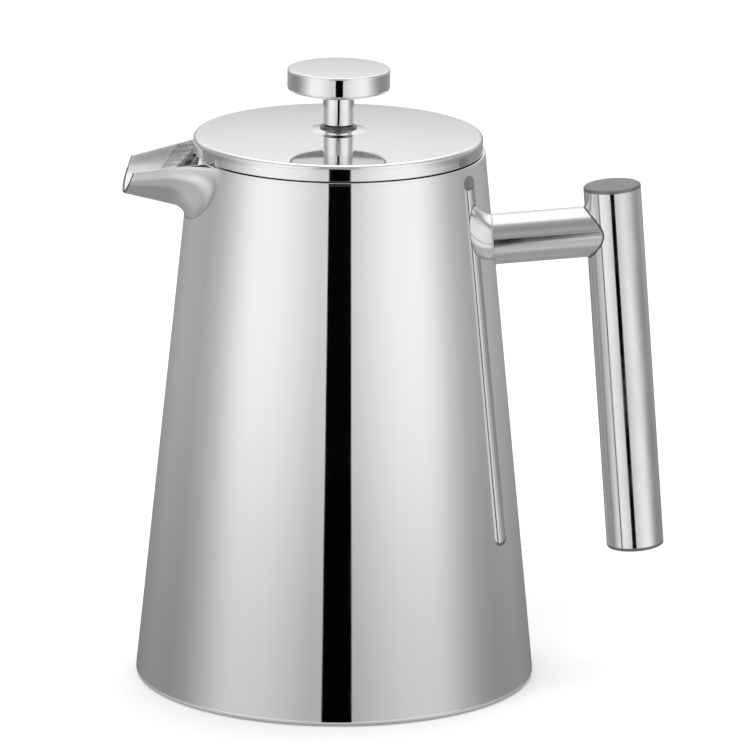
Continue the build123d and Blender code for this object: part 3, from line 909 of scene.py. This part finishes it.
# --- lid ----------------------------------------------------------------------------------------------
def dome_rows(edge_r, edge_z, rise, inner_r, count=48):
    """Corners of a shallow dome from its edge in to inner_r."""
    radius = (edge_r**2 + rise**2) / (2 * rise)
    centre = edge_z + rise - radius
    rows = []
    for k in range(1, count + 1):
        r = edge_r + (inner_r - edge_r) * k / count
        rows.append((r, centre + sqrt(radius**2 - r**2)))
    return rows


def make_lid_top():
    """Domed skin with a rolled edge and a low boss round the guide."""
    edge_r, turned_r = LID_R - LID_EDGE, LID_R - LID_EDGE + 0.7
    boss_z = LID_FACE + BOSS_RISE
    side = [(LID_INNER_R, LID_Z0, 0.1), (LID_R - 0.03, LID_Z0, 0.12), (LID_R, LID_Z0 + LID_SIDE)]
    side += [(LID_R, LID_SHOULDER, LID_EDGE)]
    dome = dome_rows(LID_R, LID_SHOULDER - 0.04, LID_DOME, BOSS_R)
    dome = [row for row in dome if row[0] < edge_r - 0.1]
    boss = [(BOSS_TOP_R, boss_z, 0.6), (GUIDE_R, boss_z)]
    under = [(GUIDE_R, boss_z - SHEET), (8.0, boss_z - SHEET - 0.3), (BOSS_R, LID_FACE - SHEET - 0.1)]
    under += [(r, z - SHEET) for r, z in reversed(dome[1:-1:6])]
    under += [(turned_r, LID_SHOULDER - SHEET, 0.6), (turned_r, LID_Z0 + SHEET, 0.2)]
    under += [(LID_INNER_R, LID_Z0 + SHEET, 0.1)]
    piece = lathe("lid_skin", side + dome + boss + under, 288)
    finish_piece(piece, "lid", "polished_lid", LID_STEEL, "lid_top")


def make_rod_guide():
    """Sleeve through the lid, with the collar that shows round the rod, its base colour darkened as painted
    shade.
    """
    z0, z1 = low("rod_guide").z, high("rod_guide").z
    face = high("lid_top").z
    corners = [
        (GUIDE_BORE, z0, 0.1),
        (GUIDE_R, z0, 0.3),
        (GUIDE_R, face - 0.02),
        (COLLAR_R, face - 0.02, 0.05),
        (COLLAR_R, face + COLLAR_SIDE, 0.15),
        (COLLAR_TOP_R, z1, 0.25),
        (GUIDE_BORE, z1, 0.1),
    ]
    finish_piece(lathe("guide_collar", corners, 120), "lid", "collar_steel", COLLAR_PAINTED_SHADE_STEEL, "rod_guide")


# --- plunger ------------------------------------------------------------------------------------------
def make_knob():
    """Flat knob with a barely domed face, and the sleeve under it."""
    edge_z = KNOB_Z1 - KNOB_DOME
    dome = dome_rows(KNOB_R - 0.2, edge_z, KNOB_DOME, 0.6, 10)
    corners = [(0, KNOB_Z0), (KNOB_R, KNOB_Z0, KNOB_ROUND_LOW), (KNOB_R, edge_z, KNOB_ROUND_TOP)]
    corners += dome + [(0, KNOB_Z1)]
    knob = lathe("knob", corners, 200, closed=False)
    finish_piece(knob, "plunger", "polished_knob", KNOB_STEEL, "knob_disc")
    stem = [(STEM_BORE, STEM_Z0), (STEM_R, STEM_Z0, 0.4), (STEM_R, KNOB_Z0, SHARP), (STEM_BORE, KNOB_Z0)]
    finish_piece(lathe("stem", stem, 120), "plunger", "polished_knob", KNOB_STEEL, "knob_stem")


def make_edge_spring():
    """Garter spring wound round the upper plate."""
    lo, hi = low("edge_spring"), high("edge_spring")
    coil_r = (hi.z - lo.z) / 2
    ring_r = PLATE_R + coil_r + 0.02
    height = (lo.z + hi.z) / 2
    turns = round(2 * pi * ring_r / SPRING_PITCH)
    per_turn = 14
    t = np.arange(turns * per_turn) / (turns * per_turn)
    ring, coil = 2 * pi * t, 2 * pi * turns * t
    r = ring_r + (coil_r - SPRING_WIRE) * np.cos(coil)
    path = np.stack([r * np.cos(ring), r * np.sin(ring), height + (coil_r - SPRING_WIRE) * np.sin(coil)], -1)
    piece = tube_object("garter_spring", path, SPRING_WIRE, 6)
    finish_piece(piece, "plunger", "spring_steel", SPRING_STEEL, "edge_spring")


# --- CAD nodes that keep their own shape --------------------------------------------------------------
KEPT = {
    "base_plate": BASE_STEEL,
    "handle_backing_plate": BASE_STEEL,
    "lid_ring": RING_SILICONE,
    "lid_base": SKIRT_STEEL,
    "lid_skirt": SKIRT_STEEL,
    "guide_nut": NUT_STEEL,
    "head_nut": NUT_STEEL,
    "plate_hub": NUT_STEEL,
    "plunger_rod": ROD_STEEL,
    "spiral_plate": PLATE_STEEL,
    "cross_plate": PLATE_STEEL,
    "filter_screen": MESH_WIRE,
}


def dress_kept_nodes():
    """Material of each CAD node that is shown as it is."""
    for node, material in KEPT.items():
        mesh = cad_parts[node].data
        mesh.materials.clear()
        mesh.materials.append(material)


# --- studio -------------------------------------------------------------------------------------------
def sheet_piece(name, points, faces, material):
    """Plain studio surface in metres, left out of the object."""
    mesh = bpy.data.meshes.new(name)
    mesh.from_pydata(points, [], faces)
    mesh.materials.append(material)
    piece = bpy.data.objects.new(name, mesh)
    bpy.context.scene.collection.objects.link(piece)
    return piece


def make_floor():
    """Wide round floor that the polished steel doesn't mirror."""
    rings = (0.5, 2.0, 5.0, 9.0)
    count = 96
    points = [(0, 0, 0)]
    for r in rings:
        points += [(r * cos(2 * pi * k / count), r * sin(2 * pi * k / count), 0) for k in range(count)]
    faces = [(0, 1 + k, 1 + (k + 1) % count) for k in range(count)]
    for ring in range(len(rings) - 1):
        a, b = 1 + ring * count, 1 + (ring + 1) * count
        faces += [(a + k, b + k, b + (k + 1) % count, a + (k + 1) % count) for k in range(count)]
    floor = sheet_piece("floor", points, faces, pale_floor("floor_paint"))
    floor.visible_glossy = False


class WorldNodes(Tree):
    """Brightness of the studio as a function of direction."""

    def __init__(self):
        """New world, with the azimuth from the camera's bearing and the elevation in degrees."""
        world = bpy.data.worlds.new("studio")
        world.use_nodes = True
        bpy.context.scene.world = world
        super().__init__(world.node_tree)
        self.background = self.tree.nodes["Background"]
        where = self.add("ShaderNodeTexCoord")
        split = self.add("ShaderNodeSeparateXYZ")
        self.link(where.outputs["Generated"], split.inputs["Vector"])
        x, y, z = (split.outputs[k] for k in "XYZ")
        bearing = self.maths("ARCTAN2", x, self.maths("MULTIPLY", y, -1.0))
        turned = self.maths("SUBTRACT", self.maths("MULTIPLY", bearing, 180 / pi), PHOTO_AZIMUTH)
        self.azimuth = self.maths("WRAP", turned, 180.0, -180.0)
        self.elevation = self.maths("MULTIPLY", self.maths("ARCSINE", z), 180 / pi)
        self.x, self.y, self.z = x, y, z

    def step(self, value, start, end):
        """Smooth rise from 0 at start to 1 at end, or the other way when end is below start."""
        node = self.add("ShaderNodeMapRange", interpolation_type="SMOOTHSTEP")
        rising = end > start
        node.inputs["From Min"].default_value = min(start, end)
        node.inputs["From Max"].default_value = max(start, end)
        node.inputs["To Min"].default_value = 0.0 if rising else 1.0
        node.inputs["To Max"].default_value = 1.0 if rising else 0.0
        self.link(value, node.inputs["Value"])
        return node.outputs["Result"]

    def blend(self, below, above, share):
        """below where share is 0, above where it is 1."""
        rest = self.maths("SUBTRACT", 1.0, share)
        return self.maths("ADD", self.maths("MULTIPLY", below, rest), self.maths("MULTIPLY", above, share))

    def both(self, first, second):
        """Product of two shares."""
        return self.maths("MULTIPLY", first, second)

    def curve(self, value, stops):
        """Piecewise brightness through stops (value, brightness)."""
        start, end = stops[0][0], stops[-1][0]
        node = self.add("ShaderNodeValToRGB")
        elements = node.color_ramp.elements
        while len(elements) < len(stops):
            elements.new(1.0)
        for element, (at, level) in zip(elements, stops):
            element.position = (at - start) / (end - start)
            element.color = (level, level, level, 1)
        share = self.maths("DIVIDE", self.maths("SUBTRACT", value, float(start)), float(end - start))
        self.link(share, node.inputs["Fac"])
        return node.outputs["Color"]


SIDE_LEVELS = (  # degrees from the camera's bearing, brightness
    (0, 0.70),
    (14, 0.70),
    (23, 0.80),
    (32, 0.88),
    (42, 0.95),
    (55, 0.98),
    (64, 0.96),
    (72, 0.86),
    (84, 0.65),
    (96, 0.49),
    (110, 0.41),
    (135, 0.43),
    (160, 0.36),
    (180, 0.34),
)
FRONT_LEVELS = (  # degrees of elevation, brightness straight in front
    (-90, 0.36),
    (-62, 0.38),
    (-50, 0.58),
    (-30, 0.54),
    (-20, 0.30),
    (0, 0.20),
    (12, 0.30),
    (28, 0.42),
    (50, 0.30),
    (64, 0.36),
    (74, 0.48),
    (90, 0.90),
)
BEHIND_LEVELS = (  # degrees of elevation, brightness behind
    (-90, 0.36),
    (-60, 0.50),
    (-20, 0.33),
    (-3, 0.33),
    (6, 0.64),
    (14, 0.81),
    (23, 0.95),
    (90, 0.97),
)
SIDE_SLOPE = 11.6  # the tapered wall mirrors the sides this much lower than the front


def make_world():
    """White at both sides, a soft grey front and a room that brightens towards the ceiling behind."""
    w = WorldNodes()
    az, el = w.azimuth, w.elevation
    aside = w.maths("ABSOLUTE", az)
    sides = w.curve(aside, SIDE_LEVELS)
    tilt = w.maths("SUBTRACT", 1.0, w.maths("COSINE", w.maths("MULTIPLY", aside, pi / 360)))
    level_el = w.maths("ADD", el, w.maths("MULTIPLY", tilt, SIDE_SLOPE))
    horizon = w.both(w.step(level_el, -2.3, -5.9), w.step(level_el, -11.0, -7.5))
    sides = w.both(sides, w.blend(1.0, 0.65, horizon))
    front = w.curve(el, FRONT_LEVELS)
    in_front = w.step(aside, 26.0, 12.0)
    upper = w.both(in_front, w.step(el, 6.0, 14.0))
    lower = w.both(w.step(aside, 150.0, 100.0), w.step(el, -18.0, -30.0))
    high_up = w.step(el, 46.0, 66.0)
    level = w.blend(sides, front, w.maths("MAXIMUM", w.maths("MAXIMUM", upper, lower), high_up))
    behind = w.curve(el, BEHIND_LEVELS)
    at_back = w.step(aside, 118.0, 150.0)
    level = w.blend(level, behind, w.both(at_back, w.step(el, -4.0, 6.0)))
    lamp_az, lamp_el = radians(PHOTO_AZIMUTH), radians(LAMP_ELEVATION)
    lamp = (sin(lamp_az) * cos(lamp_el), -cos(lamp_az) * cos(lamp_el), sin(lamp_el))
    facing = w.maths("MULTIPLY", w.x, lamp[0])
    facing = w.maths("ADD", facing, w.maths("MULTIPLY", w.y, lamp[1]))
    facing = w.maths("ADD", facing, w.maths("MULTIPLY", w.z, lamp[2]))
    level = w.blend(level, 1.2, w.step(facing, cos(radians(40)), cos(radians(24))))
    w.link(level, w.background.inputs["Color"])


# the dark card, in metres
CARD_DISTANCE, CARD_SHIFT = 1.27, 0.040
CARD_HALF_WIDTH = 0.186
CARD_BOTTOM, CARD_TOP = -0.48, 0.53
CARD_BULGE = 0.012
CARD_NOTCH = (0.33, 0.43, 0.13)  # the right edge steps in between these heights by this much


def make_dark_card():
    """Tall black card in front, seen only in the polished steel."""
    a = radians(PHOTO_AZIMUTH)
    forward, right = Vector((sin(a), -cos(a), 0)), Vector((cos(a), sin(a), 0))
    columns, rows = 25, 33
    notch_low, notch_high, notch = CARD_NOTCH
    points, faces = [], []
    for i in range(columns):
        across = 2 * i / (columns - 1) - 1
        for j in range(rows):
            z = CARD_BOTTOM + (CARD_TOP - CARD_BOTTOM) * j / (rows - 1)
            place = forward * (CARD_DISTANCE - CARD_BULGE * across**2)
            raised = min(max((z - notch_low) / (notch_high - notch_low), 0.0), 1.0)
            place += right * (CARD_SHIFT + CARD_HALF_WIDTH * across - notch * max(across, 0.0) * raised)
            points.append((place.x, place.y, z))
    for i in range(columns - 1):
        for j in range(rows - 1):
            a0 = i * rows + j
            faces.append((a0, a0 + rows, a0 + rows + 1, a0 + 1))
    card = sheet_piece("dark_card", points, faces, felt("card_felt"))
    card.visible_camera = False
    card.visible_diffuse = False
    card.visible_shadow = False
    card.visible_transmission = False


def make_lights():
    """Soft lamp from above for the floor's tone and the soft shadow. Polished steel doesn't mirror it."""
    for name, place, size, power in (
        ("key_lamp", (-0.9, -1.2, 2.2), 1.6, 26.0),
        ("top_lamp", (0.5, 0.6, 2.6), 2.4, 34.0),
    ):
        data = bpy.data.lights.new(name, "AREA")
        data.size = size
        data.energy = power
        lamp = bpy.data.objects.new(name, data)
        lamp.location = place
        lamp.rotation_euler = (-Vector(place)).to_track_quat("-Z", "Y").to_euler()
        lamp.visible_glossy = False
        lamp.visible_camera = False
        bpy.context.scene.collection.objects.link(lamp)


def make_camera():
    """Long lens in front and slightly above, with its aim, distance and roll."""
    a, e, roll = radians(PHOTO_AZIMUTH), radians(PHOTO_ELEVATION), radians(PHOTO_ROLL)
    back = Vector((sin(a) * cos(e), -cos(a) * cos(e), sin(e)))
    right = Vector((cos(a), sin(a), 0))
    up = back.cross(right)
    aim = (right * AIM_RIGHT + Vector((0, 0, AIM_Z))) * MM
    across = right * cos(roll) + up * sin(roll)
    upward = up * cos(roll) - right * sin(roll)
    data = bpy.data.cameras.new("photo_camera")
    data.lens = LENS
    data.sensor_width = SENSOR
    data.clip_end = 60.0
    camera = bpy.data.objects.new("photo_camera", data)
    matrix = camera.matrix_world.copy()
    place = aim + back * CAMERA_DISTANCE * MM
    for k in range(3):
        matrix[k][0], matrix[k][1], matrix[k][2], matrix[k][3] = across[k], upward[k], back[k], place[k]
    camera.matrix_world = matrix
    bpy.context.scene.collection.objects.link(camera)
    bpy.context.scene.camera = camera


# --- build --------------------------------------------------------------------------------------------
make_camera()
make_floor()
make_world()
make_dark_card()
make_lights()
dress_kept_nodes()
make_outer_shell()
make_inner_liner()
make_spout()
make_pour_lip()
make_spout_weld()
make_arm()
make_arm_seams()
make_grip()
make_lid_top()
make_rod_guide()
make_knob()
make_edge_spring()

bpy.context.scene.view_settings.view_transform = "Standard"
